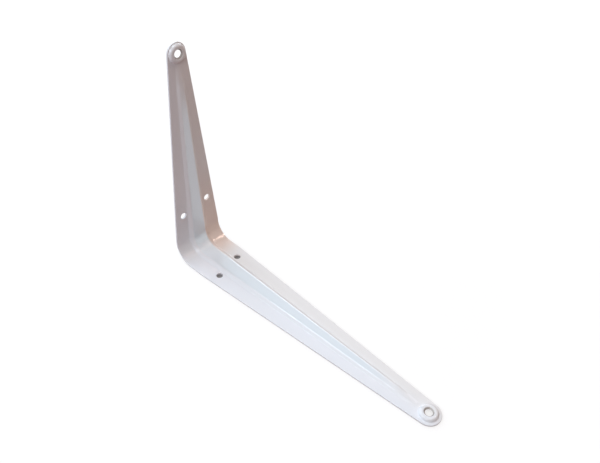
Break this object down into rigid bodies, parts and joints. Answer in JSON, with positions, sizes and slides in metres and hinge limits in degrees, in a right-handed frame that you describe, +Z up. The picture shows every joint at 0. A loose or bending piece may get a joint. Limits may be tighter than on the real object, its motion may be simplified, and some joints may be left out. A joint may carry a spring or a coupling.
{
  "type": "shelf bracket",
  "caption": "Right-angled pressed-steel shelf bracket with tapering arms, a central stiffening rib carried round the bend, and screw holes for fixing to a wall and a shelf.",
  "frame": {"origin": "the outer corner, where the planes of the two back faces meet, at the middle of the width", "axes": "+X along the long arm, +Z up along the short arm, Y across; the long arm's back rests on Z = 0"},
  "size_m": [0.2, 0.036, 0.15],
  "materials": {
    "white_paint": "gloss white enamel over pressed steel"
  },
  "bodies": {
    "root": {"shelf_bracket": "white_paint"}
  },
  "joints": []
}
